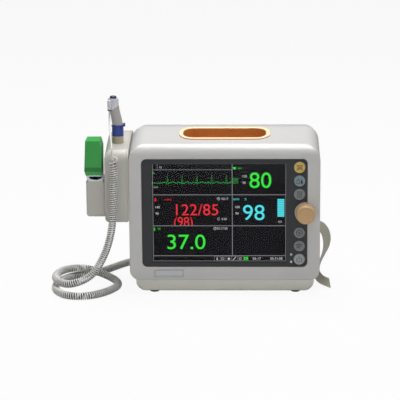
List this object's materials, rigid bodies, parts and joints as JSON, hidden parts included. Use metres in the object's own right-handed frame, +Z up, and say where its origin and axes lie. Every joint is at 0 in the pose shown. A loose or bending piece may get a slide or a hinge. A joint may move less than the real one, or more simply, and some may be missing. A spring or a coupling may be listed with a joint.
{
  "type": "patient monitor",
  "caption": "Bedside patient monitor with a display, side keys and knob, carry handle, strip recorder and a clip-on probe thermometer with its curly cord.",
  "frame": {"origin": "middle of the table rectangle that the monitor, its module, recorder and paper cover, at table height, without the cord", "axes": "+Z up, -Y out of the screen, +X to the right of a person facing the screen"},
  "size_m": [0.3654, 0.2187, 0.2533],
  "materials": {
    "case_plastic": "fine matt texture, warm light grey",
    "base_plastic": "fine matt texture, warm light grey",
    "foot_rubber": "matt",
    "insert_brass": "turned and knurled",
    "bezel_plastic": "fine satin, charcoal",
    "window_glass": "polished, dark behind",
    "display_metal": "bright sheet",
    "display_face": "dark display face",
    "key_silicone": "matt",
    "board_green": "solder mask",
    "steel_part": "bright",
    "knob_plastic": "satin amber",
    "light_pipe": "clear",
    "label_silver": "satin",
    "handle_plastic": "satin amber",
    "chassis_steel": "zinc plated",
    "battery_black": "matt",
    "pump_black": "matt",
    "speaker_black": "matt paper cone in a black frame",
    "socket_black": "matt",
    "port_grey": "satin",
    "recorder_grey": "matt",
    "head_aluminium": "extruded",
    "roller_rubber": "ground",
    "paper_white": "smooth thermal paper",
    "well_beige": "satin",
    "collar_blue": "satin blue",
    "probe_grey": "satin",
    "probe_white": "satin",
    "button_navy": "satin",
    "carton_green": "printed card",
    "cover_plastic": "thin clear plastic",
    "cord_grey": "satin sleeve",
    "key_yellow": "satin",
    "key_teal": "satin",
    "key_grey": "satin",
    "key_light": "satin"
  },
  "bodies": {
    "casing": {"front_shell": "case_plastic", "rear_shell": "case_plastic", "base_plinth": "base_plastic", "rubber_feet": "foot_rubber", "mount_inserts": "insert_brass", "screen_bezel": "bezel_plastic", "screen_window": "window_glass", "lcd_panel": "display_face", "lcd_frame": "display_metal", "key_mat": "key_silicone", "key_board": "board_green", "encoder_body": "steel_part", "indicator_lights": "light_pipe", "label_plate": "label_silver", "handle_liner": "handle_plastic", "chassis_plate": "chassis_steel", "main_board": "board_green", "power_supply": "board_green", "battery_pack": "battery_black", "cuff_pump": "pump_black", "speaker": "speaker_black", "power_inlet": "socket_black", "data_sockets": "steel_part", "patient_ports": "port_grey", "shell_screws": "steel_part", "recorder_housing": "recorder_grey", "print_head": "head_aluminium", "recorder_motor": "steel_part", "module_shell": "case_plastic", "module_cover": "case_plastic", "module_board": "board_green", "well_tube": "well_beige", "well_collar": "collar_blue", "cover_holder": "case_plastic", "probe_plug": "probe_grey", "curly_cord": "cord_grey", "cord_leads": "cord_grey"},
    "encoder_plunger": {"encoder_plunger": "steel_part"},
    "knob": {"encoder_shaft": "steel_part", "knob": "knob_plastic"},
    "recorder_door": {"recorder_door": "case_plastic", "paper_strip": "paper_white"},
    "recorder_latch": {"recorder_latch": "key_grey"},
    "platen": {"platen_roller": "roller_rubber", "platen_axle": "steel_part"},
    "motor_pinion": {"motor_pinion": "steel_part"},
    "paper_roll": {"paper_roll": "paper_white"},
    "probe": {"probe_handle": "probe_grey", "probe_head": "probe_white", "probe_shaft": "steel_part"},
    "probe_button": {"probe_button": "button_navy"},
    "carton": {"cover_carton": "carton_green", "probe_covers": "cover_plastic"},
    "battery_door": {"battery_door": "case_plastic"},
    "key_alarm_pause": {"key_alarm_pause": "key_yellow"},
    "key_cuff_start": {"key_cuff_start": "key_teal"},
    "key_menu": {"key_menu": "key_grey"},
    "key_print": {"key_print": "key_grey"},
    "key_standby": {"key_standby": "key_grey"},
    "key_power": {"key_power": "key_light"}
  },
  "joints": [
    {"name": "knob_push", "type": "slide", "parent": "casing", "child": "encoder_plunger", "axis": [0, 1, 0], "range_m": [0, 0.0006], "stiffness_N_per_m": 4000},
    {"name": "knob_turn", "type": "hinge", "parent": "encoder_plunger", "child": "knob", "pos_m": [0.12232, -0.06335, 0.108], "axis": [0, 1, 0], "continuous": true},
    {"name": "key_alarm_pause_press", "type": "slide", "parent": "casing", "child": "key_alarm_pause", "axis": [0, 1, 0], "range_m": [0, 0.0008], "stiffness_N_per_m": 1500},
    {"name": "key_cuff_start_press", "type": "slide", "parent": "casing", "child": "key_cuff_start", "axis": [0, 1, 0], "range_m": [0, 0.0008], "stiffness_N_per_m": 1500},
    {"name": "key_menu_press", "type": "slide", "parent": "casing", "child": "key_menu", "axis": [0, 1, 0], "range_m": [0, 0.0008], "stiffness_N_per_m": 1500},
    {"name": "key_print_press", "type": "slide", "parent": "casing", "child": "key_print", "axis": [0, 1, 0], "range_m": [0, 0.0008], "stiffness_N_per_m": 1500},
    {"name": "key_standby_press", "type": "slide", "parent": "casing", "child": "key_standby", "axis": [0, 1, 0], "range_m": [0, 0.0008], "stiffness_N_per_m": 1500},
    {"name": "key_power_press", "type": "slide", "parent": "casing", "child": "key_power", "axis": [0, 1, 0], "range_m": [0, 0.0008], "stiffness_N_per_m": 1500},
    {"name": "recorder_door_open", "type": "hinge", "parent": "casing", "child": "recorder_door", "pos_m": [0.13842, -0.00835, 0.0345], "axis": [0, 1, 0], "range_deg": [0, 75], "deforming": ["paper_strip"]},
    {"name": "recorder_latch_press", "type": "slide", "parent": "recorder_door", "child": "recorder_latch", "axis": [-1, 0, 0], "range_m": [0, 0.0015], "stiffness_N_per_m": 1500},
    {"name": "platen_turn", "type": "hinge", "parent": "recorder_door", "child": "platen", "pos_m": [0.13142, -0.00835, 0.074], "axis": [0, 1, 0], "continuous": true},
    {"name": "motor_turn", "type": "hinge", "parent": "casing", "child": "motor_pinion", "pos_m": [0.12491, 0.01865, 0.08029], "axis": [0, 1, 0], "continuous": true},
    {"name": "paper_roll_turn", "type": "hinge", "parent": "casing", "child": "paper_roll", "pos_m": [0.11312, -0.00835, 0.0555], "axis": [0, 1, 0], "continuous": true},
    {"name": "probe_lift", "type": "slide", "parent": "casing", "child": "probe", "axis": [0, 0, 1], "range_m": [0, 0.115]},
    {"name": "probe_eject", "type": "slide", "parent": "probe", "child": "probe_button", "axis": [0, 0, -1], "range_m": [0, 0.003], "stiffness_N_per_m": 1500},
    {"name": "carton_lift", "type": "slide", "parent": "casing", "child": "carton", "axis": [0, 0, 1], "range_m": [0, 0.06]},
    {"name": "battery_door_open", "type": "hinge", "parent": "casing", "child": "battery_door", "pos_m": [0.01962, 0.07515, 0.0268], "axis": [-1, 0, 0], "range_deg": [0, 90]}
  ],
  "couplings": [
    {"joint": "platen_turn", "follows": "paper_roll_turn", "ratio": 4},
    {"joint": "motor_turn", "follows": "paper_roll_turn", "ratio": -8}
  ]
}
